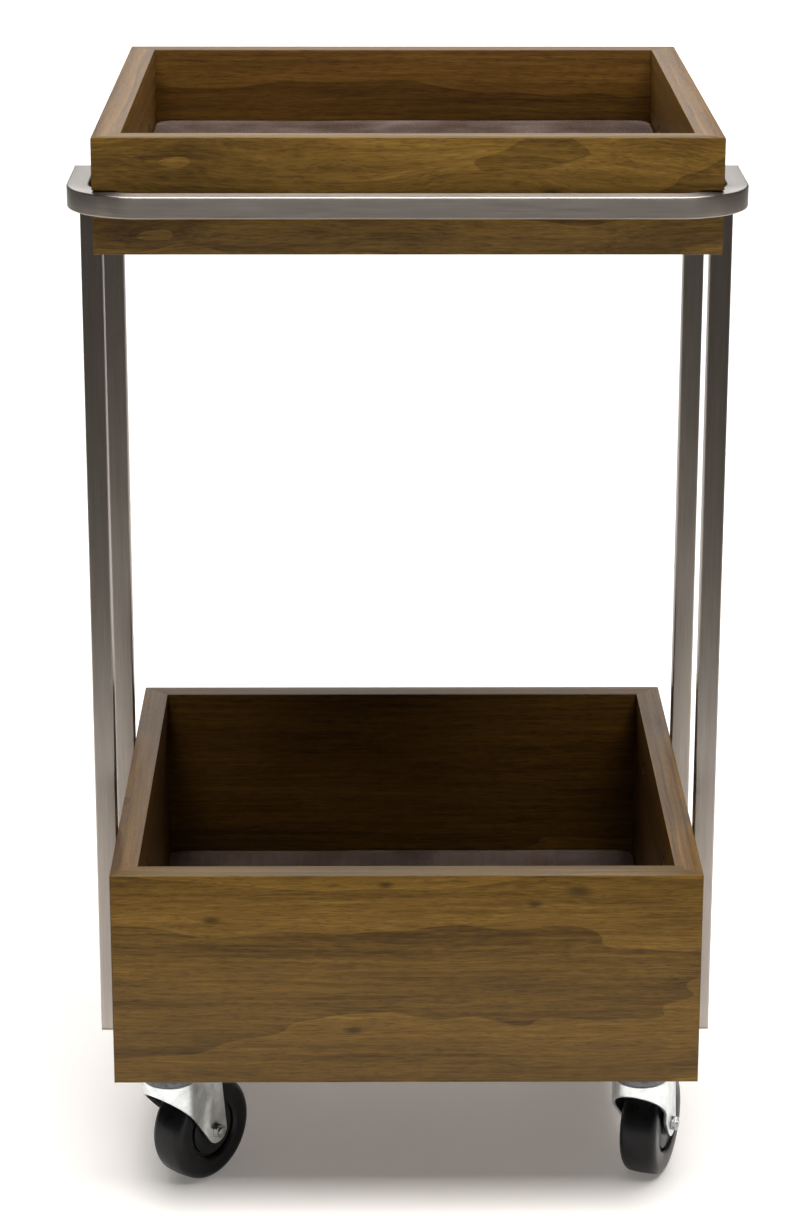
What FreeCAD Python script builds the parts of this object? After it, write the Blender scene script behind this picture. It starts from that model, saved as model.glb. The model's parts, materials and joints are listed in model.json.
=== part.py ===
# Two-tier serving trolley: a shallow wooden tray over a deep wooden box, held between four
# square-tube legs, with a bent square-tube handle round the tray's front and four swivel casters.
# Frame: millimetres, +Z up, +X to the right of someone who faces the front, the front faces -Y.
# The origin is on the floor, at the middle of the overall length and width.
import FreeCAD, Part
import math
import os
import Sketcher
from FreeCAD import Vector

DRIVING_SIZES = [
    # wooden tray and box
    ("width", 420, "outer width of the tray and the box"),
    ("depth", 412, "outer depth of the tray and the box"),
    ("tray_height", 78.5, "height of the tray's boards"),
    ("box_height", 160, "height of the box's boards"),
    ("tier_gap", 445.5, "open height between the box's rim and the tray's underside"),
    ("board", 19, "thickness of the boards"),
    ("panel", 22, "thickness of the bottom panels"),
    ("tongue", 6, "reach of a panel's tongue into its groove"),
    ("tongue_height", 7, "height of that tongue"),
    ("tongue_rise", 8, "height of the tongue's underside above the boards' lower edge"),
    ("groove_gap", 0.15, "room between a tongue and the floor of its groove"),
    # loose clear sheets on the floors
    ("sheet_thickness", 2.5, "thickness of the loose sheet on each floor"),
    ("sheet_gap", 1.6, "room between a loose sheet and the walls round it"),
    ("sheet_corner", 13, "corner radius of a loose sheet"),
    # square tube frame
    ("tube", 15, "side of the square tube"),
    ("tube_wall", 1.5, "wall of the square tube"),
    ("tube_corner", 1.2, "outer corner radius of the square tube"),
    ("leg_setback", 98.5, "from the front of the boards to the front of a front leg"),
    ("leg_drop", 3.5, "how far the legs reach below the box's underside"),
    ("leg_step", 4, "from the handle's top down to the top of the legs"),
    ("cap", 1.5, "thickness of the plates that close the tubes"),
    ("handle_drop", 36, "from the tray's rim down to the handle's top"),
    ("handle_gap", 4.3, "room between the handle and the tray"),
    ("handle_bend", 44.5, "bend radius at the handle's centre line"),
    ("notch_gap", 1, "room between the handle and the notches in the tray's front corners"),
    # leg bolts and their threaded inserts
    ("bolt_radius", 2.5, "radius of the leg bolts"),
    ("bolt_play", 0.25, "radial room round a leg bolt in the boards"),
    ("bolt_head_radius", 4.5, "head radius of the leg bolts"),
    ("bolt_head", 2.6, "head height of the leg bolts"),
    ("bolt_bite", 9, "length of bolt beyond the outside of the board"),
    ("counterbore_play", 0.5, "radial room round a bolt's head"),
    ("counterbore_spare", 0.6, "depth of a counterbore beyond the bolt's head"),
    ("insert_radius", 3.5, "body radius of the threaded inserts"),
    ("insert_flange", 1.7, "flange thickness of the inserts, which spaces the legs off the boards"),
    ("insert_flange_radius", 6, "flange radius of the inserts"),
    ("insert_length", 8, "length of an insert's body"),
    ("box_bolt_drop", 32, "from the box's rim down to the upper leg bolts"),
    ("box_bolt_pitch", 80, "from the upper to the lower leg bolts in the box"),
    ("tray_bolt_rise", 7, "from the tray's loose sheet up to its leg bolts"),
    # casters
    ("caster_side", 37, "from a side of the box to a swivel axis"),
    ("caster_inset", 34, "from the inside of the front or rear board to a swivel axis"),
    ("wheel_radius", 40, "radius of the wheels"),
    ("tread_width", 28, "width of the wheels"),
    ("tread_crown", 70, "radius of the crown across a tread"),
    ("shoulder", 6, "shoulder radius of a tread"),
    ("wheel_play", 0.5, "room between a wheel's hub and each fork leg"),
    ("hub_radius", 9, "radius of a wheel's raised hub"),
    ("web_sink", 1.5, "how far a wheel's side lies behind the edge of its tread"),
    ("groove_radius", 21, "middle radius of the ring groove in each side of a wheel"),
    ("groove_width", 2.8, "width of that groove"),
    ("groove_depth", 2.5, "depth of that groove"),
    ("side_slope", 2, "width of the sloping strips on a wheel's side"),
    ("trail", 31.5, "from a swivel axis to its wheel's axle"),
    ("headroom", 11.2, "from the top of a wheel to the top of its fork's crown"),
    ("sheet_metal", 2.2, "sheet thickness of the forks"),
    ("crown_radius", 20.5, "radius of a fork's crown"),
    ("crown_skirt", 9.5, "depth of the crown's skirt in front"),
    ("crown_edge", 2.5, "edge rounding of the crown"),
    ("fork_tip", 10, "tip radius of the fork's legs"),
    ("fork_lean", 55, "how far the front of a fork leg leans over where it meets its tip, in degrees"),
    ("fork_sweep", 200, "radius of the curve down the front of a fork's legs"),
    ("race_height", 5.4, "height of the ball race ring"),
    ("race_radius", 22.5, "radius of the ball race ring"),
    ("race_play", 0.3, "room between the race ring and the cup above it"),
    ("cup_height", 10.6, "depth of the cup pressed in a mounting plate"),
    ("cup_radius", 25, "radius of that cup at the plate"),
    ("plate", 2.5, "thickness of a caster's mounting plate"),
    ("plate_width", 64, "mounting plate across the trolley"),
    ("plate_length", 80, "mounting plate along the trolley"),
    ("plate_corner", 6, "corner radius of a mounting plate"),
    ("plate_pitch_across", 50, "spacing of the plate's holes across the trolley"),
    ("plate_pitch_along", 62, "spacing of the plate's holes along the trolley"),
    ("screw_radius", 2.2, "shank radius of the caster screws"),
    ("screw_play", 0.3, "radial room round a screw in the plate"),
    ("screw_length", 16, "length of a caster screw in the wood"),
    ("screw_head", 2.4, "head height of a caster screw"),
    ("screw_head_radius", 4.2, "head radius of a caster screw"),
    ("kingpin_radius", 5, "radius of the rivet that a fork swivels on"),
    ("kingpin_head", 2.2, "head height of that rivet"),
    ("kingpin_head_radius", 8.5, "head radius of that rivet"),
    ("running_play", 0.06, "radial room of the turning fits"),
    ("axle_radius", 3, "radius of an axle bolt"),
    ("sleeve_radius", 4.5, "outer radius of the sleeve that a wheel turns on"),
    ("nut_flats", 10, "width across flats of the axle's head and nut"),
    ("nut_height", 3.6, "height of the axle's head and nut"),
    ("axle_proud", 1.2, "length of axle bolt beyond its nut"),
    # how far each wheel trails towards +X from straight back, in degrees
    ("turn_front_left", 40, "rest angle of the front left caster"),
    ("turn_front_right", 20, "rest angle of the front right caster"),
    ("turn_rear_left", 64, "rest angle of the rear left caster"),
    ("turn_rear_right", -60, "rest angle of the rear right caster"),
]

doc = FreeCAD.newDocument("serving_trolley")
sizes = doc.addObject("Spreadsheet::Sheet", "sizes")
for row, (alias, size, meaning) in enumerate(DRIVING_SIZES, start=1):
    sizes.set(f"A{row}", meaning)
    sizes.set(f"B{row}", str(size))
    sizes.setAlias(f"B{row}", alias)
doc.recompute()

# Sizes and heights that follow from the driving ones, as expressions
HALF_WIDTH = "(sizes.width / 2)"
INNER_HALF_WIDTH = "(sizes.width / 2 - sizes.board)"
MIDDLE_Y = "((sizes.handle_gap + sizes.tube) / 2)"
FRONT_Y = f"({MIDDLE_Y} - sizes.depth / 2)"
REAR_Y = f"({MIDDLE_Y} + sizes.depth / 2)"
LEG_HALF_PITCH = "(sizes.depth / 2 - sizes.leg_setback - sizes.tube / 2)"
LEG_X = f"({HALF_WIDTH} + sizes.insert_flange + sizes.tube / 2)"
CROWN_TOP = "(2 * sizes.wheel_radius + sizes.headroom)"
RACE_TOP = f"({CROWN_TOP} + sizes.race_height)"
CUP_BASE = f"({RACE_TOP} + sizes.race_play)"
PLATE_BASE = f"({CUP_BASE} + sizes.cup_height)"
BOX_BASE = f"({PLATE_BASE} + sizes.plate)"
BOX_RIM = f"({BOX_BASE} + sizes.box_height)"
TRAY_BASE = f"({BOX_RIM} + sizes.tier_gap)"
TRAY_RIM = f"({TRAY_BASE} + sizes.tray_height)"
HANDLE_TOP = f"({TRAY_RIM} - sizes.handle_drop)"
HANDLE_BASE = f"({HANDLE_TOP} - sizes.tube)"
LEG_TOP = f"({HANDLE_TOP} - sizes.leg_step)"
LEG_FOOT = f"({BOX_BASE} - sizes.leg_drop)"
BOX_BOLT_RISES = ["(sizes.box_height - sizes.box_bolt_drop)",
                  "(sizes.box_height - sizes.box_bolt_drop - sizes.box_bolt_pitch)"]
TRAY_BOLT_RISE = "(sizes.panel + sizes.sheet_thickness + sizes.tray_bolt_rise)"
FORK_INNER = "(sizes.tread_width / 2 + 2 * sizes.wheel_play)"
FORK_OUTER = f"({FORK_INNER} + sizes.sheet_metal)"
CASTER_X = f"({HALF_WIDTH} - sizes.caster_side)"
CASTER_HALF_PITCH = "(sizes.depth / 2 - sizes.board - sizes.caster_inset)"

OVERSIZE = "1000"
FINISHED = []


def number(expression):
    """Value of an expression over the sheet."""
    return float(sizes.evalExpression(expression))


def bind(item, **expressions):
    """Bind properties to expressions; a double underscore stands for a dot."""
    for prop, expression in expressions.items():
        item.setExpression(prop.replace("__", "."), expression)
    return item


def place(item, x="0", y="0", z="0", turn=None, axis=Vector(0, 0, 1)):
    """Bind an object's position, and its turn in degrees about an axis."""
    if turn is not None:
        item.Placement = FreeCAD.Placement(Vector(0, 0, 0), FreeCAD.Rotation(axis, number(turn) or 1e-9))
        item.setExpression("Placement.Rotation.Angle", turn)
    bind(item, Placement__Base__x=x, Placement__Base__y=y, Placement__Base__z=z)
    return item


def finish(item, label):
    """Name a finished sub-part; its label is the name of its file."""
    item.Label = label
    FINISHED.append(item)
    return item


def new_body(name):
    return doc.addObject("PartDesign::Body", name + "_body")


def new_sketch(body, plane, lift=None):
    """Empty sketch on one of the body's own origin planes, lifted along the plane's normal."""
    sketch = body.newObject("Sketcher::SketchObject", body.Name + "_sketch")
    support = [item for item in body.Origin.OriginFeatures if item.Role == plane]
    sketch.AttachmentSupport = [(support[0], "")]
    sketch.MapMode = "FlatFace"
    if lift is not None:
        sketch.setExpression("AttachmentOffset.Base.z", lift)
    return sketch


def pin_point(sketch, name, geometry, end, x, y):
    """Hold a point of the sketch at expressions for its two coordinates."""
    for letter, kind, axis, expression in (("x", "DistanceX", -2, x), ("y", "DistanceY", -1, y)):
        if expression == "0":
            sketch.addConstraint(Sketcher.Constraint("PointOnObject", geometry, end, axis))
            continue
        index = sketch.addConstraint(
            Sketcher.Constraint(kind, -1, 1, geometry, end, number(expression)))
        sketch.renameConstraint(index, name + letter)
        sketch.setExpression("Constraints." + name + letter, expression)


def arc_between(start, end, radius, leftward):
    """Minor arc from start to end that turns left or right."""
    chord = end - start
    across = Vector(-chord.y, chord.x, 0).normalize()
    height = math.sqrt(max(radius ** 2 - (chord.Length / 2) ** 2, 0))
    centre = start + chord * 0.5 + across * (height if leftward else -height)
    first, last = (start, end) if leftward else (end, start)
    angles = [math.atan2(point.y - centre.y, point.x - centre.x) for point in (first, last)]
    return Part.ArcOfCircle(Part.Circle(centre, Vector(0, 0, 1), radius), *angles)


def draw_outline(sketch, points):
    """Closed outline. A point is (x, y), or (x, y, radius, leftward) where an arc follows it."""
    corners = [Vector(number(point[0]), number(point[1]), 0) for point in points]
    base = sketch.GeometryCount
    ends = []
    for index, point in enumerate(points):
        start = corners[index]
        end = corners[(index + 1) % len(points)]
        if len(point) == 2:
            sketch.addGeometry(Part.LineSegment(start, end), False)
            ends.append((1, 2))
        else:
            sketch.addGeometry(arc_between(start, end, number(point[2]), point[3]), False)
            ends.append((1, 2) if point[3] else (2, 1))
    for index in range(len(points)):
        following = (index + 1) % len(points)
        sketch.addConstraint(Sketcher.Constraint(
            "Coincident", base + index, ends[index][1], base + following, ends[following][0]))
    for index, point in enumerate(points):
        pin_point(sketch, f"p{base + index}", base + index, ends[index][0], point[0], point[1])
        if len(point) == 4:
            added = sketch.addConstraint(Sketcher.Constraint("Radius", base + index, number(point[2])))
            sketch.renameConstraint(added, f"r{base + index}")
            sketch.setExpression(f"Constraints.r{base + index}", point[2])


def draw_open_path(sketch, points):
    """Open path, its points given as for a closed outline."""
    corners = [Vector(number(point[0]), number(point[1]), 0) for point in points]
    ends = []
    for index in range(len(points) - 1):
        point = points[index]
        start = corners[index]
        end = corners[index + 1]
        if len(point) == 2:
            sketch.addGeometry(Part.LineSegment(start, end), False)
            ends.append((1, 2))
        else:
            sketch.addGeometry(arc_between(start, end, number(point[2]), point[3]), False)
            ends.append((1, 2) if point[3] else (2, 1))
    for index in range(len(ends) - 1):
        sketch.addConstraint(Sketcher.Constraint(
            "Coincident", index, ends[index][1], index + 1, ends[index + 1][0]))
    for index, point in enumerate(points[:-1]):
        pin_point(sketch, f"p{index}", index, ends[index][0], point[0], point[1])
        if len(point) == 4:
            added = sketch.addConstraint(Sketcher.Constraint("Radius", index, number(point[2])))
            sketch.renameConstraint(added, f"r{index}")
            sketch.setExpression(f"Constraints.r{index}", point[2])
    last = len(ends) - 1
    pin_point(sketch, "last", last, ends[last][1], points[-1][0], points[-1][1])


def draw_circles(sketch, centres, radius):
    """Circles of one radius at pairs of expressions."""
    for x, y in centres:
        index = sketch.addGeometry(
            Part.Circle(Vector(number(x), number(y), 0), Vector(0, 0, 1), number(radius)), False)
        pin_point(sketch, f"c{index}", index, 3, x, y)
        added = sketch.addConstraint(Sketcher.Constraint("Radius", index, number(radius)))
        sketch.renameConstraint(added, f"d{index}")
        sketch.setExpression(f"Constraints.d{index}", radius)


def rounded_rectangle(half_x, half_y, corner):
    """Outline of a rectangle about the origin whose corners are arcs."""
    in_x = f"({half_x} - {corner})"
    in_y = f"({half_y} - {corner})"
    return [
        (f"-{in_x}", f"-{half_y}"),
        (in_x, f"-{half_y}", corner, True),
        (half_x, f"-{in_y}"),
        (half_x, in_y, corner, True),
        (in_x, half_y),
        (f"-{in_x}", half_y, corner, True),
        (f"-{half_x}", in_y),
        (f"-{half_x}", f"-{in_y}", corner, True),
    ]


def pad(body, sketch, length, midplane=False, reverse=False):
    feature = body.newObject("PartDesign::Pad", body.Name + "_pad")
    feature.Profile = sketch
    feature.Midplane = midplane
    feature.Reversed = reverse
    feature.setExpression("Length", length)
    return feature


def pocket(body, sketch, length, midplane=False, reverse=False):
    """Cut a sketch out of the body, and make sure that it removed something."""
    doc.recompute()
    before = body.Shape.Volume
    feature = body.newObject("PartDesign::Pocket", body.Name + "_pocket")
    feature.Profile = sketch
    feature.Midplane = midplane
    feature.Reversed = reverse
    feature.setExpression("Length", length)
    doc.recompute()
    if body.Shape.Volume >= before:
        raise ValueError(f"{feature.Name} cut nothing")
    return feature


def tube_section(sketch):
    """Square tube about the sketch's origin: outer outline and bore."""
    half = "(sizes.tube / 2)"
    bore = "(sizes.tube / 2 - sizes.tube_wall)"
    draw_outline(sketch, rounded_rectangle(half, half, "sizes.tube_corner"))
    draw_outline(sketch, [(f"-{bore}", f"-{bore}"), (bore, f"-{bore}"), (bore, bore), (f"-{bore}", bore)])


# ---------------------------------------------------------------------------------------------
# Boards, panels and loose sheets
# ---------------------------------------------------------------------------------------------

def leg_hole_centres(rises):
    """Leg bolt holes in a side board: the two legs at each height above the board's lower edge."""
    return [(side + LEG_HALF_PITCH, rise) for side in ("", "-") for rise in rises]


def caster_hole_centres():
    """Screw holes that the caster plates need in a side board's lower edge."""
    outer = "(sizes.caster_side - sizes.plate_pitch_across / 2)"
    return [(f"({end}{CASTER_HALF_PITCH} {along} sizes.plate_pitch_along / 2)", outer)
            for end in ("", "-") for along in ("+", "-")]


def mitred_board(name, length, height, bolt_rises=(), caster_holes=False):
    """Board with mitred ends, its outer face on y = 0, its lower edge on z = 0, grooved for a panel."""
    body = new_body(name)
    plan = new_sketch(body, "XY_Plane")
    half = f"({length} / 2)"
    inner = f"({length} / 2 - sizes.board)"
    draw_outline(plan, [(f"-{half}", "0"), (half, "0"), (inner, "sizes.board"), (f"-{inner}", "sizes.board")])
    pad(body, plan, height)
    groove = new_sketch(body, "YZ_Plane")
    floor = "(sizes.board - sizes.tongue - sizes.groove_gap)"
    lower = "sizes.tongue_rise"
    upper = "(sizes.tongue_rise + sizes.tongue_height)"
    draw_outline(groove, [(floor, lower), ("sizes.board", lower), ("sizes.board", upper), (floor, upper)])
    pocket(body, groove, length, midplane=True)
    if bolt_rises:
        centres = leg_hole_centres(bolt_rises)
        through = new_sketch(body, "XZ_Plane")
        draw_circles(through, centres, "sizes.bolt_radius + sizes.bolt_play")
        pocket(body, through, "sizes.board")
        sunk = new_sketch(body, "XZ_Plane", lift="-sizes.board")
        draw_circles(sunk, centres, "sizes.bolt_head_radius + sizes.counterbore_play")
        pocket(body, sunk, "sizes.bolt_head + sizes.counterbore_spare", reverse=True)
    if caster_holes:
        pilot = new_sketch(body, "XY_Plane")
        draw_circles(pilot, caster_hole_centres(), "sizes.screw_radius")
        pocket(body, pilot, "sizes.screw_length", reverse=True)
    return body


BEND_INSET = "(sizes.handle_bend - sizes.handle_gap - sizes.tube / 2)"
NOTCH_RADIUS = "(sizes.handle_bend - sizes.tube / 2 - sizes.notch_gap)"
NOTCH_REACH = f"({BEND_INSET} - sqrt({NOTCH_RADIUS}^2 - {BEND_INSET}^2))"
NOTCH_BASE = "(sizes.tray_height - sizes.handle_drop - sizes.tube - sizes.notch_gap)"
NOTCH_HEIGHT = "(sizes.tube + 2 * sizes.notch_gap)"


def corner_notch(board, length, end):
    """Take the tray's corner off at the handle's height, where the handle's bend cuts it short.

    Seen from above the notch is part of a ring round the bend's centre, which lies BEND_INSET
    in from both outer faces of the corner. Its end is "" at the board's +X end and "-" at -X.
    """
    near = f"({end}({length} / 2 - {NOTCH_REACH}))"
    corner = f"({end}{length} / 2)"
    beyond = f"({end}({length} / 2 + sizes.board))"
    plan = new_sketch(board, "XY_Plane", lift=NOTCH_BASE)
    draw_outline(plan, [(near, "0", NOTCH_RADIUS, end == ""), (corner, NOTCH_REACH),
                        (beyond, NOTCH_REACH), (beyond, "-sizes.board"), (near, "-sizes.board")])
    pocket(board, plan, NOTCH_HEIGHT, reverse=True)


def wooden_frame(tier, height, base, bolt_rises, caster_holes, notched):
    """Four mitred boards round a tier; notched says for each side which ends the handle cuts."""
    sides = (
        ("front", "sizes.width", "0", FRONT_Y, None),
        ("rear", "sizes.width", "0", REAR_Y, "180"),
        ("left", "sizes.depth", f"-{HALF_WIDTH}", MIDDLE_Y, "-90"),
        ("right", "sizes.depth", HALF_WIDTH, MIDDLE_Y, "90"),
    )
    for side, length, x, y, turn in sides:
        name = f"{tier}_{side}_board"
        is_side = side in ("left", "right")
        board = mitred_board(name, length, height, bolt_rises if is_side else (),
                             caster_holes and is_side)
        for end in notched.get(side, ()):
            corner_notch(board, length, end)
        finish(place(board, x, y, base, turn), name)


def bottom_panel(name, base, caster_holes):
    """Panel between the boards, with a tongue round its edge."""
    body = new_body(name)
    half_x = INNER_HALF_WIDTH
    half_y = "(sizes.depth / 2 - sizes.board)"
    plan = new_sketch(body, "XY_Plane")
    draw_outline(plan, [(f"-{half_x}", f"-{half_y}"), (half_x, f"-{half_y}"),
                        (half_x, half_y), (f"-{half_x}", half_y)])
    pad(body, plan, "sizes.panel")
    wide_x = f"({half_x} + sizes.tongue)"
    wide_y = f"({half_y} + sizes.tongue)"
    tongue = new_sketch(body, "XY_Plane", lift="sizes.tongue_rise")
    draw_outline(tongue, [(f"-{wide_x}", f"-{wide_y}"), (wide_x, f"-{wide_y}"),
                          (wide_x, wide_y), (f"-{wide_x}", wide_y)])
    pad(body, tongue, "sizes.tongue_height")
    if caster_holes:
        centres = [(f"({side}{CASTER_X} {across} sizes.plate_pitch_across / 2)",
                    f"({end}{CASTER_HALF_PITCH} {along} sizes.plate_pitch_along / 2)")
                   for side in ("", "-") for across in ("+", "-")
                   for end in ("", "-") for along in ("+", "-")]
        pilot = new_sketch(body, "XY_Plane")
        draw_circles(pilot, centres, "sizes.screw_radius")
        pocket(body, pilot, "sizes.screw_length", reverse=True)
    finish(place(body, "0", MIDDLE_Y, base), name)


def loose_sheet(name, base):
    """Clear sheet with rounded corners that lies on a bottom panel."""
    body = new_body(name)
    plan = new_sketch(body, "XY_Plane")
    half_x = f"({INNER_HALF_WIDTH} - sizes.sheet_gap)"
    half_y = "(sizes.depth / 2 - sizes.board - sizes.sheet_gap)"
    draw_outline(plan, rounded_rectangle(half_x, half_y, "sizes.sheet_corner"))
    pad(body, plan, "sizes.sheet_thickness")
    finish(place(body, "0", MIDDLE_Y, f"{base} + sizes.panel"), name)


# ---------------------------------------------------------------------------------------------
# Legs, handle and the fasteners that hold the tiers to the legs
# ---------------------------------------------------------------------------------------------

LEG_CORNERS = [
    ("front_left", "-", "-"),
    ("front_right", "", "-"),
    ("rear_left", "-", ""),
    ("rear_right", "", ""),
]


def bolt_heights():
    """Heights above the floor of the bolts in each leg."""
    heights = [f"({BOX_BASE} + {rise})" for rise in BOX_BOLT_RISES]
    return heights + [f"({TRAY_BASE} + {TRAY_BOLT_RISE})"]


def leg(corner, x_sign, y_sign):
    """Square tube between its two end plates, drilled on its inner wall for the inserts."""
    name = f"leg_{corner}"
    body = new_body(name)
    section = new_sketch(body, "XY_Plane")
    tube_section(section)
    foot = f"({LEG_FOOT} + sizes.cap)"
    pad(body, section, f"{LEG_TOP} - sizes.cap - {foot}")
    drilled = new_sketch(body, "YZ_Plane")
    draw_circles(drilled, [("0", f"({height} - {foot})") for height in bolt_heights()],
                 "sizes.insert_radius")
    pocket(body, drilled, "sizes.tube", reverse=(x_sign == "-"))
    y = f"{MIDDLE_Y} + ({y_sign}{LEG_HALF_PITCH})"
    finish(place(body, f"{x_sign}{LEG_X}", y, foot), name)


def square_plates(name, places, upright):
    """Group of small square plates that close tube ends, each given by its lowest corner."""
    plates = []
    for index, (x, y, z) in enumerate(places):
        plate = doc.addObject("Part::Box", f"{name}_{index}")
        bind(plate, Length="sizes.tube", Width="sizes.cap" if upright else "sizes.tube",
             Height="sizes.tube" if upright else "sizes.cap")
        plates.append(place(plate, x, y, z))
    return group(name, plates)


def group(name, members):
    """One node that holds several separate solids."""
    compound = doc.addObject("Part::Compound", name + "_group")
    compound.Links = members
    return finish(compound, name)


def leg_plates(name, base):
    places = [(f"{x_sign}{LEG_X} - sizes.tube / 2",
               f"{MIDDLE_Y} + ({y_sign}{LEG_HALF_PITCH}) - sizes.tube / 2", base)
              for _, x_sign, y_sign in LEG_CORNERS]
    square_plates(name, places, upright=False)


HANDLE_X = f"({HALF_WIDTH} + sizes.handle_gap + sizes.tube / 2)"
HANDLE_Y = f"({FRONT_Y} - sizes.handle_gap - sizes.tube / 2)"
HANDLE_END_Y = f"({FRONT_Y} + sizes.leg_setback)"


def handle():
    """U of square tube: a front run, two bends and two short arms that end on the front legs."""
    body = new_body("handle")
    path = new_sketch(body, "XY_Plane")
    end_y = f"({HANDLE_END_Y} - sizes.cap)"
    straight_x = f"({HANDLE_X} - sizes.handle_bend)"
    bend_y = f"({HANDLE_Y} + sizes.handle_bend)"
    points = [
        (f"-{HANDLE_X}", end_y),
        (f"-{HANDLE_X}", bend_y, "sizes.handle_bend", True),
        (f"-{straight_x}", HANDLE_Y),
        (straight_x, HANDLE_Y, "sizes.handle_bend", True),
        (HANDLE_X, bend_y),
        (HANDLE_X, end_y),
    ]
    draw_open_path(path, points)
    section = new_sketch(body, "XZ_Plane", lift=f"-{end_y}")
    section.setExpression("AttachmentOffset.Base.x", f"-{HANDLE_X}")
    tube_section(section)
    doc.recompute()
    pipe = body.newObject("PartDesign::AdditivePipe", "handle_pipe")
    pipe.Profile = section
    pipe.Spine = path
    pipe.Transition = "Transformed"
    finish(place(body, "0", "0", f"{HANDLE_TOP} - sizes.tube / 2"), "handle")
    plates = [(f"{side}{HANDLE_X} - sizes.tube / 2", end_y, HANDLE_BASE) for side in ("-", "")]
    square_plates("handle_end_plates", plates, upright=True)


def rod(name, radius, length):
    """Cylinder that starts at its own origin and runs along its own +Z."""
    cylinder = doc.addObject("Part::Cylinder", name)
    return bind(cylinder, Radius=radius, Height=length)


def join(name, members):
    """Several overlapping or touching shapes as one solid."""
    fused = doc.addObject("Part::MultiFuse", name)
    fused.Shapes = members
    return fused


def cut(name, base, tool):
    result = doc.addObject("Part::Cut", name)
    result.Base = base
    result.Tool = tool
    return result


def leg_fasteners():
    """A bolt from inside each tier into a flanged threaded insert in the leg's inner wall."""
    bolts = []
    inserts = []
    head_start = f"({INNER_HALF_WIDTH} + sizes.counterbore_spare)"
    shank = f"({HALF_WIDTH} + sizes.bolt_bite - {head_start})"
    for corner, x_sign, y_sign in LEG_CORNERS:
        y = f"{MIDDLE_Y} + ({y_sign}{LEG_HALF_PITCH})"
        outward = "-90" if x_sign == "-" else "90"
        for index, z in enumerate(bolt_heights()):
            label = f"{corner}_{index}"
            head = rod(f"bolt_head_{label}", "sizes.bolt_head_radius", "sizes.bolt_head")
            stem = rod(f"bolt_stem_{label}", "sizes.bolt_radius", shank)
            bolt = join(f"bolt_{label}", [head, stem])
            bolts.append(place(bolt, f"{x_sign}{head_start}", y, z, outward, Vector(0, 1, 0)))
            flange = rod(f"insert_flange_{label}", "sizes.insert_flange_radius", "sizes.insert_flange")
            barrel = rod(f"insert_barrel_{label}", "sizes.insert_radius",
                         "sizes.insert_flange + sizes.insert_length")
            bore = rod(f"insert_bore_{label}", "sizes.bolt_radius", OVERSIZE)
            insert = cut(f"insert_{label}", join(f"insert_blank_{label}", [flange, barrel]), bore)
            inserts.append(place(insert, f"{x_sign}{HALF_WIDTH}", y, z, outward, Vector(0, 1, 0)))
    group("leg_bolts", bolts)
    group("leg_inserts", inserts)


# ---------------------------------------------------------------------------------------------
# Casters: each piece is drawn with the swivel axis on Z, the floor at z = 0 and the wheel
# trailing along +Y, then turned about the swivel axis to its rest angle
# ---------------------------------------------------------------------------------------------

CASTER_CORNERS = [
    ("front_left", "-", "-"),
    ("front_right", "", "-"),
    ("rear_left", "-", ""),
    ("rear_right", "", ""),
]


def caster_place(item, corner, x_sign, y_sign, turned=True):
    """Put a caster piece under its corner, turned to that caster's rest angle if it swivels."""
    turn = f"-sizes.turn_{corner}" if turned else None
    y = f"{MIDDLE_Y} + ({y_sign}{CASTER_HALF_PITCH})"
    return place(item, f"{x_sign}{CASTER_X}", y, "0", turn)


def mounting_plate(corner, x_sign, y_sign):
    """Pressed plate with a cup below it, four screw holes and the rivet's hole."""
    name = f"caster_plate_{corner}"
    body = new_body(name)
    plan = new_sketch(body, "XY_Plane", lift=PLATE_BASE)
    draw_outline(plan, rounded_rectangle("(sizes.plate_width / 2)", "(sizes.plate_length / 2)",
                                         "sizes.plate_corner"))
    pad(body, plan, "sizes.plate")
    cup = new_sketch(body, "XZ_Plane")
    draw_outline(cup, [("0", CUP_BASE), ("sizes.race_radius", CUP_BASE),
                       ("sizes.race_radius", f"{CUP_BASE} + sizes.cup_height / 3"),
                       ("sizes.cup_radius", PLATE_BASE), ("0", PLATE_BASE)])
    turned = body.newObject("PartDesign::Revolution", name + "_cup")
    turned.Profile = cup
    turned.ReferenceAxis = (cup, ["V_Axis"])
    turned.Angle = 360
    holes = new_sketch(body, "XY_Plane", lift=PLATE_BASE)
    centres = [(f"({across}sizes.plate_pitch_across / 2)", f"({along}sizes.plate_pitch_along / 2)")
               for across in ("", "-") for along in ("", "-")]
    draw_circles(holes, centres, "sizes.screw_radius + sizes.screw_play")
    pocket(body, holes, "sizes.plate", reverse=True)
    pin_hole = new_sketch(body, "XY_Plane", lift=CUP_BASE)
    draw_circles(pin_hole, [("0", "0")], "sizes.kingpin_radius")
    pocket(body, pin_hole, "sizes.cup_height + sizes.plate", reverse=True)
    finish(caster_place(body, corner, x_sign, y_sign, turned=False), name)


def kingpin(corner, x_sign, y_sign):
    """Rivet through the plate and the fork's crown, its head under the crown."""
    name = f"caster_kingpin_{corner}"
    head_base = f"({CROWN_TOP} - sizes.sheet_metal - sizes.race_play - sizes.kingpin_head)"
    head = rod(name + "_head", "sizes.kingpin_head_radius", "sizes.kingpin_head")
    stem = rod(name + "_stem", "sizes.kingpin_radius", f"{BOX_BASE} - {head_base}")
    place(head, z=head_base)
    place(stem, z=head_base)
    finish(caster_place(join(name + "_pin", [head, stem]), corner, x_sign, y_sign, turned=False), name)


def race_ring(corner, x_sign, y_sign):
    """Ball race ring that lies on the fork's crown and turns with it."""
    name = f"caster_race_{corner}"
    blank = place(rod(name + "_blank", "sizes.race_radius", "sizes.race_height"), z=CROWN_TOP)
    bore = rod(name + "_bore", "sizes.kingpin_radius + sizes.running_play", OVERSIZE)
    finish(caster_place(cut(name + "_ring", blank, bore), corner, x_sign, y_sign), name)


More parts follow.
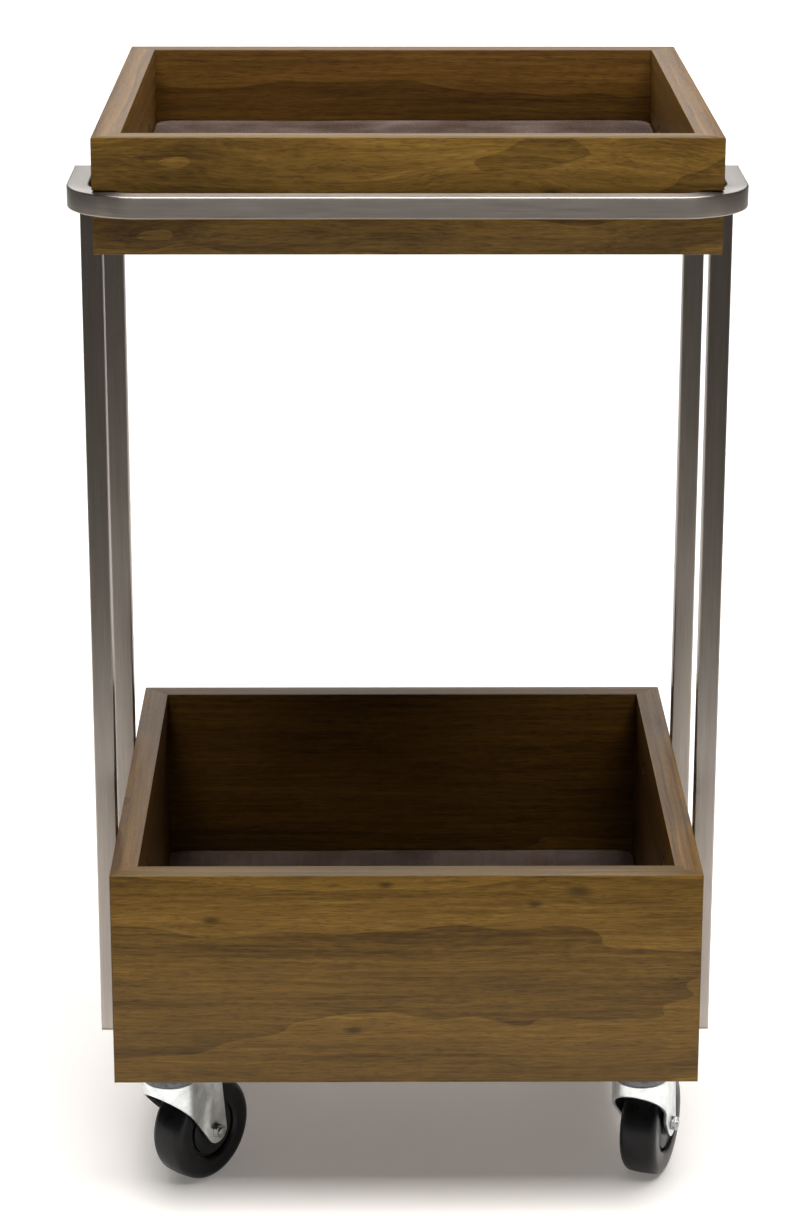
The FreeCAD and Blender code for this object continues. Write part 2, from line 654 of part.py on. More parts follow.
def crown_plan(radius, half_width, far):
    """Outline of a fork seen from above: a round front that runs into two parallel sides."""
    shoulder_y = "(sizes.crown_radius / 5)"
    side_y = "(sizes.crown_radius * 2 / 3)"
    shoulder_x = f"sqrt({radius}^2 - {shoulder_y}^2)"
    return [
        (half_width, far),
        (f"-{half_width}", far),
        (f"-{half_width}", side_y),
        (f"-{shoulder_x}", shoulder_y, radius, True),
        ("0", f"-{radius}", radius, True),
        (shoulder_x, shoulder_y),
        (half_width, side_y),
    ]


def fork(corner, x_sign, y_sign):
    """Pressed fork: a round crown whose skirt runs down into two legs with rounded tips."""
    name = f"caster_fork_{corner}"
    body = new_body(name)
    tip = "sizes.fork_tip"
    lean_y = "(sizes.fork_tip * sin(sizes.fork_lean))"
    lean_z = "(sizes.fork_tip * cos(sizes.fork_lean))"
    far = "(sizes.trail + 2 * sizes.fork_tip)"
    side = new_sketch(body, "YZ_Plane")
    draw_outline(side, [
        ("-sizes.crown_radius", CROWN_TOP),
        ("-sizes.crown_radius", f"({CROWN_TOP} - sizes.crown_skirt)", "sizes.fork_sweep", False),
        (f"(sizes.trail - {lean_y})", f"(sizes.wheel_radius - {lean_z})", tip, True),
        ("sizes.trail", f"(sizes.wheel_radius - {tip})", tip, True),
        (f"(sizes.trail + {tip})", "sizes.wheel_radius"),
        (f"(sizes.trail + {tip} / 2)", f"({CROWN_TOP} - sizes.crown_skirt)"),
        ("(sizes.trail - sizes.fork_tip)", CROWN_TOP),
    ])
    pad(body, side, "4 * sizes.crown_radius", midplane=True)
    trim = new_sketch(body, "XY_Plane")
    wide = "(3 * sizes.crown_radius)"
    draw_outline(trim, [(f"-{wide}", f"-{wide}"), (wide, f"-{wide}"), (wide, f"(2 * {far})"),
                        (f"-{wide}", f"(2 * {far})")])
    draw_outline(trim, crown_plan("sizes.crown_radius", FORK_OUTER, far))
    pocket(body, trim, CROWN_TOP, reverse=True)
    hollow = new_sketch(body, "XY_Plane")
    draw_outline(hollow, crown_plan("(sizes.crown_radius - sizes.sheet_metal)", FORK_INNER, f"(1.5 * {far})"))
    pocket(body, hollow, f"{CROWN_TOP} - sizes.sheet_metal", reverse=True)
    pin_hole = new_sketch(body, "XY_Plane")
    draw_circles(pin_hole, [("0", "0")], "sizes.kingpin_radius + sizes.running_play")
    pocket(body, pin_hole, CROWN_TOP, reverse=True)
    axle_hole = new_sketch(body, "YZ_Plane")
    draw_circles(axle_hole, [("sizes.trail", "sizes.wheel_radius")], "sizes.axle_radius")
    pocket(body, axle_hole, "4 * sizes.crown_radius", midplane=True)
    soften_crown(body)
    finish(caster_place(body, corner, x_sign, y_sign), name)


def soften_crown(body):
    """Round the outer edge of the crown's top, all but its straight rear edge."""
    top = number(CROWN_TOP)
    reach = number("sizes.crown_radius") / 2
    chosen = []
    for index, edge in enumerate(body.Shape.Edges, start=1):
        ends_at_top = all(abs(vertex.Z - top) < 1e-4 for vertex in edge.Vertexes)
        middle = edge.valueAt((edge.FirstParameter + edge.LastParameter) / 2)
        is_straight_across = abs(edge.Vertexes[0].Y - edge.Vertexes[-1].Y) < 1e-4 and middle.y > reach
        far_out = math.hypot(middle.x, middle.y) > reach
        if ends_at_top and abs(middle.z - top) < 1e-4 and far_out and not is_straight_across:
            chosen.append(f"Edge{index}")
    rounded = body.Tip
    rounding = body.newObject("PartDesign::Fillet", body.Name + "_rounding")
    rounding.Base = (rounded, chosen)
    rounding.setExpression("Radius", "sizes.crown_edge")
    body.Tip = rounding


def wheel(corner, x_sign, y_sign):
    """One-piece wheel: crowned tread, round shoulders, a ring groove in each side and a raised hub."""
    name = f"caster_wheel_{corner}"
    body = new_body(name)
    edge_x = "(sizes.tread_width / 2)"
    crown_x = "(sizes.tread_width / 2 - sizes.shoulder)"
    crown_r = f"(sizes.wheel_radius - sizes.tread_crown + sqrt(sizes.tread_crown^2 - {crown_x}^2))"
    side_r = f"({crown_r} - sizes.shoulder)"
    hub_x = f"({FORK_INNER} - sizes.wheel_play)"
    web_x = f"({edge_x} - sizes.web_sink)"
    groove_x = f"({web_x} - sizes.groove_depth)"
    bore = "(sizes.sleeve_radius + sizes.running_play)"
    groove_in = "(sizes.groove_radius - sizes.groove_width / 2)"
    groove_out = "(sizes.groove_radius + sizes.groove_width / 2)"
    groove_wall = "(sizes.groove_width / 4)"
    half = [
        (hub_x, bore), (hub_x, "sizes.hub_radius"), (web_x, "(sizes.hub_radius + sizes.side_slope / 2)"),
        (web_x, groove_in), (groove_x, f"({groove_in} + {groove_wall})"),
        (groove_x, f"({groove_out} - {groove_wall})"), (web_x, groove_out),
        (edge_x, f"({groove_out} + sizes.side_slope)"), (edge_x, side_r),
        (crown_x, crown_r),
    ]
    points = [list(point) for point in half]
    points[8] += ["sizes.shoulder", True]
    points[9] += ["sizes.tread_crown", True]
    mirrored = [[f"-{x}", r] for x, r in reversed(half)]
    mirrored[0] += ["sizes.shoulder", True]
    profile = new_sketch(body, "XY_Plane")
    draw_outline(profile, points + mirrored)
    turned = body.newObject("PartDesign::Revolution", name + "_turned")
    turned.Profile = profile
    turned.ReferenceAxis = (profile, ["H_Axis"])
    turned.Angle = 360
    place(body, y="sizes.trail", z="sizes.wheel_radius")
    caster_group(name, [body], corner, x_sign, y_sign)


def caster_group(name, members, corner, x_sign, y_sign):
    """Node whose members are already placed on their own caster."""
    compound = group(name, members)
    caster_place(compound, corner, x_sign, y_sign)


def hexagon(name, length):
    prism = doc.addObject("Part::Prism", name)
    prism.Polygon = 6
    return bind(prism, Circumradius="sizes.nut_flats / sqrt(3)", Height=length)


def axle_parts(corner, x_sign, y_sign):
    """Axle bolt with its hexagon head, its nut, and the sleeve between the fork's legs."""
    def along_axle(item, x):
        return place(item, x, "sizes.trail", "sizes.wheel_radius", "90", Vector(0, 1, 0))

    name = f"caster_axle_bolt_{corner}"
    head = along_axle(hexagon(name + "_head", "sizes.nut_height"), f"-{FORK_OUTER} - sizes.nut_height")
    stem = along_axle(rod(name + "_stem", "sizes.axle_radius",
                          f"2 * {FORK_OUTER} + sizes.nut_height + sizes.axle_proud"), f"-{FORK_OUTER}")
    caster_group(name, [join(name + "_solid", [head, stem])], corner, x_sign, y_sign)

    name = f"caster_axle_nut_{corner}"
    blank = along_axle(hexagon(name + "_blank", "sizes.nut_height"), FORK_OUTER)
    bore = along_axle(rod(name + "_bore", "sizes.axle_radius", OVERSIZE), "0")
    caster_group(name, [cut(name + "_solid", blank, bore)], corner, x_sign, y_sign)

    name = f"caster_sleeve_{corner}"
    blank = along_axle(rod(name + "_blank", "sizes.sleeve_radius", f"2 * {FORK_INNER}"), f"-{FORK_INNER}")
    bore = along_axle(rod(name + "_bore", "sizes.axle_radius", OVERSIZE), f"-{OVERSIZE} / 2")
    caster_group(name, [cut(name + "_solid", blank, bore)], corner, x_sign, y_sign)


def caster_screws():
    """Four pan-head screws under each mounting plate."""
    screws = []
    for corner, x_sign, y_sign in CASTER_CORNERS:
        for across in ("+", "-"):
            for along in ("+", "-"):
                label = f"screw_{corner}_{len(screws)}"
                head = rod(label + "_head", "sizes.screw_head_radius", "sizes.screw_head")
                shank = rod(label + "_shank", "sizes.screw_radius",
                            "sizes.screw_head + sizes.plate + sizes.screw_length")
                screw = join(label, [head, shank])
                x = f"{x_sign}{CASTER_X} {across} sizes.plate_pitch_across / 2"
                y = f"{MIDDLE_Y} + ({y_sign}{CASTER_HALF_PITCH}) {along} sizes.plate_pitch_along / 2"
                screws.append(place(screw, x, y, f"{PLATE_BASE} - sizes.screw_head"))
    group("caster_screws", screws)


# ---------------------------------------------------------------------------------------------
# The whole trolley
# ---------------------------------------------------------------------------------------------

wooden_frame("tray", "sizes.tray_height", TRAY_BASE, [TRAY_BOLT_RISE], caster_holes=False,
             notched={"front": ("", "-"), "left": ("",), "right": ("-",)})
wooden_frame("box", "sizes.box_height", BOX_BASE, BOX_BOLT_RISES, caster_holes=True, notched={})
bottom_panel("tray_bottom_panel", TRAY_BASE, caster_holes=False)
bottom_panel("box_bottom_panel", BOX_BASE, caster_holes=True)
loose_sheet("tray_floor_sheet", TRAY_BASE)
loose_sheet("box_floor_sheet", BOX_BASE)
for leg_corner in LEG_CORNERS:
    leg(*leg_corner)
leg_plates("leg_top_plates", f"{LEG_TOP} - sizes.cap")
leg_plates("leg_foot_plates", LEG_FOOT)
handle()
leg_fasteners()
for caster_corner in CASTER_CORNERS:
    mounting_plate(*caster_corner)
    kingpin(*caster_corner)
    race_ring(*caster_corner)
    fork(*caster_corner)
    wheel(*caster_corner)
    axle_parts(*caster_corner)
caster_screws()
doc.recompute()

for item in doc.Objects:
    if "Invalid" in item.State or "Error" in item.State:
        raise ValueError(f"{item.Name} could not be built: {item.State}")

os.makedirs("parts", exist_ok=True)
for item in FINISHED:
    shape = item.Shape
    if shape.isNull() or not shape.isValid() or not shape.Solids:
        raise ValueError(f"{item.Label} is not a valid solid")
    shape.exportStep(os.path.join("parts", item.Label + ".step"))
    print(f"{item.Label}: {len(shape.Solids)} solid(s), {shape.Volume / 1000:.2f} cm3")
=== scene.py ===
# %% [markdown]
# # Two-tier serving trolley
# A shallow walnut tray over a deep walnut box, carried by four legs of square stainless tube, with
# a bent tube handle round the front and four swivel casters below. The engineered model is loaded
# as a fixed frame: every place and size comes from it, and this lesson only gives it its looks.

# %% Load the frame
import json
import math

import bmesh
import bpy
from mathutils import Matrix, Vector


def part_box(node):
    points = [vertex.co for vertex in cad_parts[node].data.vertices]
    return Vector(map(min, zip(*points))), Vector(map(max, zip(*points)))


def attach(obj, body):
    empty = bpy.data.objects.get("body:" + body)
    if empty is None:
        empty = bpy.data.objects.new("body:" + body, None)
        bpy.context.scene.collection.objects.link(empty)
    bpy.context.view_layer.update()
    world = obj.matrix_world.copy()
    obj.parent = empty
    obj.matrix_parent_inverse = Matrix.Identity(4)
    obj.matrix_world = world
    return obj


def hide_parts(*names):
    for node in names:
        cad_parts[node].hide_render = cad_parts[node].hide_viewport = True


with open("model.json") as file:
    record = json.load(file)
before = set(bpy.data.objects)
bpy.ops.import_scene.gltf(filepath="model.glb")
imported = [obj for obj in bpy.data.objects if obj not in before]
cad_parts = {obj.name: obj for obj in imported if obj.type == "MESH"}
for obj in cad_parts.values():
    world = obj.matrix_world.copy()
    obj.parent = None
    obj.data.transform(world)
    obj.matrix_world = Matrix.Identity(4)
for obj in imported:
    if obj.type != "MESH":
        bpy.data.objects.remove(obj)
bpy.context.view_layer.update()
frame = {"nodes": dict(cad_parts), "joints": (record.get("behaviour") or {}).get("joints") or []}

MM = 0.001

# %% [markdown]
# ## Two small tools for materials
# Colours are picked as sRGB hex, as on a paint chart, but shaders work in linear light, so one
# function converts them. A material is a tree of nodes: one function adds a node, sets its options
# and either links or fills each input, so that each finish below reads as a list of its layers.

# %% Colour and node helpers
def linear(hex_colour):
    """Linear RGBA of an sRGB colour such as "8A6A3C"."""
    channels = [int(hex_colour[i:i + 2], 16) / 255 for i in (0, 2, 4)]
    return tuple(c / 12.92 if c <= 0.04045 else ((c + 0.055) / 1.055) ** 2.4
                 for c in channels) + (1.0,)


def add(tree, kind, inputs=None, stops=(), **settings):
    """Add a node with its settings.

    An input given a socket is linked to it, and any other value is typed in. Stops are the
    (position, hex colour) pairs of a colour ramp.
    """
    node = tree.nodes.new("ShaderNode" + kind)
    for name, value in settings.items():
        setattr(node, name, value)
    for socket, value in (inputs or {}).items():
        if isinstance(value, bpy.types.NodeSocket):
            tree.links.new(value, node.inputs[socket])
        else:
            node.inputs[socket].default_value = value
    if stops:
        elements = node.color_ramp.elements
        while len(elements) < len(stops):
            elements.new(0.5)
        for element, (position, colour) in zip(elements, stops):
            element.position = position
            element.color = linear(colour)
    return node


def new_material(name):
    """An empty material; returns it with its tree."""
    material = bpy.data.materials.new(name)
    material.use_nodes = True
    material.node_tree.nodes.clear()
    return material, material.node_tree


print("mid walnut in linear light:", [round(channel, 3) for channel in linear("725520")[:3]])

# %% [markdown]
# ## Walnut
# The boards are solid American walnut with a thin satin oil finish. The eye sees four layers: the
# growth rings, which make straight lines on a quarter-sawn face and pointed arches on a flat-sawn
# one; broad darker and lighter streaks of heartwood; fine fibres; and short dark open pores.
# An image of wood would repeat and would not turn the corner at an edge. Rings round an imagined
# pith, cut by the board's real faces, give arches, lines and end grain that belong together.
#
# The grain is laid out first. No trunk is straight, so its lines wander a little, and where a twig
# grew they pass a small dark pin knot, longer along the board than across it.

# %% Grain and pin knots
SWAY_LENGTH = 170 * MM       # along the board, for the grain to wander off and come back
SWAY_WIDTH = 60 * MM
KNOT_STRETCH = 0.45          # a knot's height as a share of its length


def wandering_grain(tree, place, turn, shift, sway):
    """Coordinates that run along the grain, in X, and wander across it by sway millimetres."""
    straight = add(tree, "Mapping", {"Vector": place, "Rotation": (0, 0, math.radians(turn)),
                                     "Location": shift}).outputs["Vector"]
    wander = add(tree, "Mapping", {"Vector": straight, "Scale": (1 / SWAY_LENGTH, 1 / SWAY_WIDTH,
                                                                 1 / SWAY_WIDTH)})
    wandering = add(tree, "TexNoise", {"Vector": wander.outputs[0], "Scale": 1.0, "Detail": 2.0})
    offset = add(tree, "VectorMath", {0: wandering.outputs["Color"], 1: (0.5, 0.5, 0.5)},
                 operation="SUBTRACT")
    sideways = add(tree, "VectorMath", {0: offset.outputs[0], 1: (0, sway * MM, sway * MM)},
                   operation="MULTIPLY")
    return add(tree, "VectorMath", {0: straight, 1: sideways.outputs[0]}).outputs[0]


def knot_depth(tree, place, knots):
    """How deep a point lies in a knot: 0 outside them all and 1 in the middle of one."""
    deepest = 0.0
    for x, y, z, size in knots:
        away = add(tree, "VectorMath", {0: place, 1: (x, y, z)}, operation="SUBTRACT")
        squeezed = add(tree, "VectorMath", {0: away.outputs[0], 1: (KNOT_STRETCH, 0, 1)},
                       operation="MULTIPLY")
        distance = add(tree, "VectorMath", {0: squeezed.outputs[0]}, operation="LENGTH")
        spot = add(tree, "MapRange", {"Value": distance.outputs["Value"], "From Min": 0,
                                      "From Max": size, "To Min": 1, "To Max": 0},
                   interpolation_type="SMOOTHERSTEP")
        deepest = add(tree, "Math", {0: spot.outputs[0], 1: deepest},
                      operation="MAXIMUM").outputs[0]
    return deepest


print("grain wanders over", SWAY_LENGTH / MM, "mm along a board")

# %% [markdown]
# ## Walnut's figure
# The layers are added to one number, which a ramp turns from dark to light walnut. The rings are a
# Wave texture, whose saw-tooth profile gives each year a soft start and a hard end. The streaks,
# fibres and pores are noise, stretched along the grain to the length of the real thing.

# %% Walnut's layers
RING_SPACING = 9 * MM
RING_STRETCH = 0.12          # a trunk tapers slowly, so its rings change little along it
WAVE_PERIOD = math.tau / 20  # a Wave texture's period at a scale of 1
STREAK = (26 * MM, 420 * MM)
FINE_STREAK = (2.6 * MM, 130 * MM)
FIBRE = (0.8 * MM, 16 * MM)  # wider than real fibres, so that they show
PORE = (0.9 * MM, 9 * MM)    # real pores are about 0.3 mm wide; drawn wider, for the same reason


def growth_rings(tree, grain, pith, tilt):
    """Rings round a pith that leans by tilt degrees."""
    leaning = add(tree, "Mapping", {"Vector": grain, "Location": pith,
                                    "Rotation": (0, math.radians(tilt / 2), math.radians(tilt)),
                                    "Scale": (RING_STRETCH, 1, 1)})
    rings = add(tree, "TexWave", {"Vector": leaning.outputs[0],
                                  "Scale": WAVE_PERIOD / RING_SPACING, "Distortion": 2.5,
                                  "Detail": 2.0, "Detail Scale": 0.7, "Detail Roughness": 0.5},
                wave_type="RINGS", rings_direction="X", wave_profile="SAW")
    return rings.outputs["Fac"]


def grain_noise(tree, grain, size, detail):
    """Noise whose blotches have this size, (width across the grain, length along it)."""
    width, length = size
    scaled = add(tree, "Mapping", {"Vector": grain, "Scale": (1 / length, 1 / width, 1 / width)})
    return add(tree, "TexNoise", {"Vector": scaled.outputs[0], "Scale": 1.0, "Detail": detail,
                                  "Roughness": 0.6, "Distortion": 0.3}).outputs["Fac"]


print("growth rings", RING_SPACING / MM, "mm apart, pores", PORE[0] / MM, "mm wide")

# %% Walnut
RING_SHARE = -0.18           # negative: the late wood that ends a year is the dark one
STREAK_SHARE = 0.45
FINE_STREAK_SHARE = 0.6
FIBRE_SHARE = 0.5
PORE_SHARE = 0.35
KNOT_SHARE = 0.7


def walnut(name, turn, shift, pith, tilt, sway, tint_and_shade, knots=()):
    """Oiled walnut whose grain runs along X, or along Y with a turn of 90 degrees.

    shift picks another stretch of the same tree, pith is where the tree's centre runs behind the
    face, tilt is how far it leans, sway is how far the grain wanders from a straight line, the
    tint multiplies the board's colour with its own tone and, on boards in shade, a painted shade,
    and knots are (x, y, z, size) places of small pin knots.
    """
    material, tree = new_material(name)
    place = add(tree, "TexCoord").outputs["Object"]
    grain = wandering_grain(tree, place, turn, shift, sway)
    rings = growth_rings(tree, grain, pith, tilt)
    streaks = grain_noise(tree, grain, STREAK, 4)
    fine_streaks = grain_noise(tree, grain, FINE_STREAK, 4)
    fibres = grain_noise(tree, grain, FIBRE, 2)
    pores = grain_noise(tree, grain, PORE, 1)

    mixed = add(tree, "Math", {0: rings, 1: RING_SHARE, 2: -RING_SHARE / 2},
                operation="MULTIPLY_ADD").outputs[0]
    for layer, share in ((streaks, STREAK_SHARE), (fine_streaks, FINE_STREAK_SHARE),
                         (fibres, FIBRE_SHARE)):
        centred = add(tree, "Math", {0: layer, 1: 0.5}, operation="SUBTRACT").outputs[0]
        mixed = add(tree, "Math", {0: centred, 1: share, 2: mixed},
                    operation="MULTIPLY_ADD").outputs[0]
    mixed = add(tree, "Math", {0: mixed, 1: 0.5}, operation="ADD").outputs[0]
    coloured = add(tree, "ValToRGB", {"Fac": mixed}, stops=[
        (0.2, "3A260C"), (0.42, "5E4517"), (0.58, "725520"), (0.82, "8F6F32")]).outputs["Color"]

    pore_mark = add(tree, "MapRange", {"Value": pores, "From Min": 0.56,
                                       "From Max": 0.66}).outputs[0]
    marks = [(pore_mark, PORE_SHARE, "2E1F0F")]
    if knots:
        marks.append((knot_depth(tree, place, knots), KNOT_SHARE, "2A1B0B"))
    for mark, share, dark in marks:
        strength = add(tree, "Math", {0: mark, 1: share}, operation="MULTIPLY").outputs[0]
        coloured = add(tree, "Mix", {0: strength, 6: coloured, 7: linear(dark)},
                       data_type="RGBA").outputs[2]
    # The tint multiplies in the board's own tone and, on the side, back and bottom boards, painted
    # shade.
    tinted_and_shaded = add(tree, "Mix", {0: 1.0, 6: coloured, 7: linear(tint_and_shade)}, data_type="RGBA",
                blend_type="MULTIPLY")

    height = add(tree, "Math", {0: pore_mark, 1: -0.6, 2: fibres},
                 operation="MULTIPLY_ADD").outputs[0]
    bump = add(tree, "Bump", {"Height": height, "Strength": 0.25, "Distance": 0.06 * MM})
    satin = add(tree, "MapRange", {"Value": fibres, "From Min": 0.3, "From Max": 0.7,
                                   "To Min": 0.38, "To Max": 0.52})
    shader = add(tree, "BsdfPrincipled", {"Base Color": tinted_and_shaded.outputs[2],
                                          "Roughness": satin.outputs[0], "IOR": 1.5,
                                          "Specular IOR Level": 0.18, "Normal": bump.outputs[0]})
    add(tree, "OutputMaterial", {"Surface": shader.outputs[0]})
    return material


print("shares of rings, streaks, fine streaks and fibres:", RING_SHARE, STREAK_SHARE,
      FINE_STREAK_SHARE, FIBRE_SHARE)

# %% [markdown]
# ## Brushed stainless steel
# The tube is 304 stainless, ground lengthwise with a belt. The belt leaves fine scratches along the
# tube, so highlights spread across it, and the metal is never a clean mirror. The scratches follow
# the tube round its bends, so the pattern reads a UV map that each tube piece carries: U runs along
# the tube and V across it, both in metres.

# %% Brushed steel
SCRATCH = (0.5 * MM, 45 * MM)     # belt scratches are far finer; drawn coarse enough to show
BELT_MARK = (4 * MM, 300 * MM)    # dull and bright stretches where the belt pressed unevenly


def brushed_steel():
    """Steel with fine scratches and broad belt marks along its UV map."""
    material, tree = new_material("brushed_stainless_tube")
    strip = add(tree, "UVMap", uv_map="brushing").outputs["UV"]
    layers = []
    for width, length in (SCRATCH, BELT_MARK):
        scaled = add(tree, "Mapping", {"Vector": strip, "Scale": (1 / length, 1 / width, 1)})
        noise = add(tree, "TexNoise", {"Vector": scaled.outputs[0], "Scale": 1.0, "Detail": 3.0,
                                       "Roughness": 0.65})
        layers.append(noise.outputs["Fac"])
    scratches, belt_marks = layers
    colour = add(tree, "ValToRGB", {"Fac": scratches},
                 stops=[(0.3, "968F88"), (0.7, "B4ADA6")]).outputs["Color"]
    dulled = add(tree, "Mix", {0: belt_marks, 6: colour, 7: linear("8F8881")}, data_type="RGBA")
    rough = add(tree, "MapRange", {"Value": scratches, "From Min": 0.3, "From Max": 0.7,
                                   "To Min": 0.29, "To Max": 0.39})
    bump = add(tree, "Bump", {"Height": scratches, "Strength": 0.35, "Distance": 0.02 * MM})
    tangent = add(tree, "Tangent", direction_type="UV_MAP", uv_map="brushing")
    shader = add(tree, "BsdfPrincipled", {"Base Color": dulled.outputs[2], "Metallic": 1.0,
                                          "Roughness": rough.outputs[0], "Anisotropic": 0.9,
                                          "Anisotropic Rotation": 0.25,
                                          "Tangent": tangent.outputs[0],
                                          "Normal": bump.outputs[0]})
    add(tree, "OutputMaterial", {"Surface": shader.outputs[0]})
    return material


STEEL = brushed_steel()
print("made", STEEL.name, "with", len(STEEL.node_tree.nodes), "nodes")

# %% [markdown]
# ## Plated, dark and black finishes of the casters
# The forks and mounting plates are pressed from mild steel and bright zinc plated: nearly white,
# with a soft mottled sheen where the zinc crystals differ. Bolts and nuts have the same plating but
# look darker, being handled and oiled. The race ring is dark greasy steel. The wheels are one-piece
# hard black rubber, satin, with a little dust, and it shines less than the default surface would.
# Each is one noise at the size of its real mottling, over specks that break up the highlights.

# %% Mottled finishes
SPECK = 0.7 * MM


def mottled(name, dark, light, size, rough, metallic, grain=0.01 * MM, gloss_level=0.5):
    """A finish whose colour and gloss vary in soft patches of the given size."""
    material, tree = new_material(name)
    place = add(tree, "TexCoord").outputs["Object"]
    patches = add(tree, "TexNoise", {"Vector": place, "Scale": 1 / size, "Detail": 4.0,
                                     "Roughness": 0.6}).outputs["Fac"]
    specks = add(tree, "TexNoise", {"Vector": place, "Scale": 1 / SPECK, "Detail": 2.0})
    colour = add(tree, "ValToRGB", {"Fac": patches},
                 stops=[(0.35, dark), (0.65, light)]).outputs["Color"]
    gloss = add(tree, "MapRange", {"Value": patches, "From Min": 0.3, "From Max": 0.7,
                                   "To Min": rough[0], "To Max": rough[1]})
    bump = add(tree, "Bump", {"Height": specks.outputs["Fac"], "Strength": 0.3,
                              "Distance": grain})
    shader = add(tree, "BsdfPrincipled", {"Base Color": colour, "Metallic": metallic,
                                          "Specular IOR Level": gloss_level,
                                          "Roughness": gloss.outputs[0],
                                          "Normal": bump.outputs[0]})
    add(tree, "OutputMaterial", {"Surface": shader.outputs[0]})
    return material


ZINC = mottled("zinc_plated_pressing", "C8CDCD", "E2E7E7", 9 * MM, (0.27, 0.33), 1.0)
FASTENER = mottled("zinc_plated_fastener", "8E908F", "B4B5B2", 3 * MM, (0.25, 0.4), 1.0)
RACE = mottled("oiled_bearing_steel", "4A4B4E", "6C6D70", 4 * MM, (0.3, 0.45), 1.0)
RUBBER = mottled("moulded_black_rubber", "08080A", "141416", 14 * MM, (0.26, 0.38), 0.0,
                 grain=0.02 * MM, gloss_level=0.2)
print("made", ", ".join(finish.name for finish in (ZINC, FASTENER, RACE, RUBBER)))

# %% [markdown]
# ## Clear floor sheets
# A loose sheet of soft clear PVC protects each floor. It isn't quite flat, it is slightly milky and
# its top is glossy, so the wood shows through a grey-violet veil. A film like this is lighter to
# render, and closer to the real look, as a partly see-through gloss coat than as solid glass.

# %% Clear sheet
RIPPLE = 45 * MM
RIPPLE_STRETCH = 0.6         # the roll left the ripples longer from front to back
RIPPLE_DEPTH = 7 * MM        # deeper than the real ones, so that their highlights show
CLOUDINESS = 0.42


def clear_sheet():
    """Milky clear plastic with soft ripples on its gloss."""
    material, tree = new_material("clear_soft_pvc_sheet")
    place = add(tree, "TexCoord").outputs["Object"]
    stretched = add(tree, "Mapping", {"Vector": place, "Scale": (1, RIPPLE_STRETCH, 1)})
    ripples = add(tree, "TexNoise", {"Vector": stretched.outputs[0], "Scale": 1 / RIPPLE,
                                     "Detail": 2.0}).outputs["Fac"]
    veil = add(tree, "ValToRGB", {"Fac": ripples},
               stops=[(0.35, "75625B"), (0.65, "9C8A83")]).outputs["Color"]
    bump = add(tree, "Bump", {"Height": ripples, "Strength": 0.8, "Distance": RIPPLE_DEPTH})
    shader = add(tree, "BsdfPrincipled", {"Base Color": veil, "Alpha": CLOUDINESS,
                                          "Roughness": 0.1, "IOR": 1.5,
                                          "Normal": bump.outputs[0]})
    add(tree, "OutputMaterial", {"Surface": shader.outputs[0]})
    return material


SHEET = clear_sheet()
print("made", SHEET.name)

# %% [markdown]
# ## Tools for pieces
# A CAD node arrives as loose triangles with knife-sharp edges. Real edges are eased: sanded on
# wood, rolled on pressed sheet. So a piece starts as a copy whose loose triangles are merged, its
# sharp edges get a small bevel, and it takes the node's place. Edges that stay sharp are marked, so
# that smooth shading stops at them.

# %% Piece helpers
SAME_POINT = 0.001 * MM
SHADING_BREAK = 35           # degrees; a sharper edge keeps a crisp line in its shading


def merged_copy(node):
    """A bmesh of a CAD node, its loose triangles merged into clean faces."""
    bm = bmesh.new()
    bm.from_mesh(frame["nodes"][node].data)
    bmesh.ops.remove_doubles(bm, verts=bm.verts, dist=SAME_POINT)
    bmesh.ops.dissolve_limit(bm, angle_limit=math.radians(0.5), verts=bm.verts, edges=bm.edges)
    return bm


def ease_edges(bm, width, least_angle=40, least_length=0.0):
    """Bevel the edges where two faces meet at more than the least angle; returns how many."""
    sharp = [edge for edge in bm.edges
             if edge.is_manifold and edge.calc_length() >= least_length
             and edge.calc_face_angle() > math.radians(least_angle)]
    if sharp:
        bmesh.ops.bevel(bm, geom=sharp, offset=width, offset_type="OFFSET", affect="EDGES",
                        segments=2, profile=0.5, clamp_overlap=True, material=-1)
    return len(sharp)


def make_piece(bm, name, body, slot, material, *nodes):
    """Finish a mesh as a piece that rides on a body, in place of the CAD nodes that it shows."""
    for face in bm.faces:
        face.smooth = True
    for edge in bm.edges:
        edge.smooth = edge.is_manifold and edge.calc_face_angle() < math.radians(SHADING_BREAK)
    mesh = bpy.data.meshes.new(name)
    bm.to_mesh(mesh)
    bm.free()
    mesh.materials.append(material)
    piece = bpy.data.objects.new(name, mesh)
    bpy.context.scene.collection.objects.link(piece)
    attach(piece, body)
    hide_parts(*nodes)
    return piece


print("frame nodes to finish:", len(frame["nodes"]))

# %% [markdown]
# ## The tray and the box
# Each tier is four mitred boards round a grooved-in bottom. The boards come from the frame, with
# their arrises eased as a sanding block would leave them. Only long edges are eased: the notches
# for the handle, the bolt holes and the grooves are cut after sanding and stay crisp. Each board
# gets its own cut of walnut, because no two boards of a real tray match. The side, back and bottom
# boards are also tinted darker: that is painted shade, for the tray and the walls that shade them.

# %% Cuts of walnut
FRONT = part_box("box_front_board")[0].y
BOX_KNOTS = [(-138.7, 236, 5), (-15, 263, 4), (-38, 151, 5), (122, 258, 7), (91, 248, 4)]
TRAY_KNOTS = [(-181, 754, 4), (95, 757, 5)]
PLAIN = "E4E3DC"             # tints that multiply the walnut's own colours
OLIVE = "E6E5DE"
# The three tints below get darker in turn. They are painted shade for the side, back and bottom
# boards, which the tray and the walls shade. The first also warms the tone.
WARM_PAINTED_SHADE = "EADED5"
DARK_PAINTED_SHADE = "DCCFC6"
SHADED = "CABBB3"


def pin_knots(places):
    """Knots on a front face, given as x, height and size in millimetres."""
    return [(x * MM, FRONT, z * MM, size * MM) for x, z, size in places]
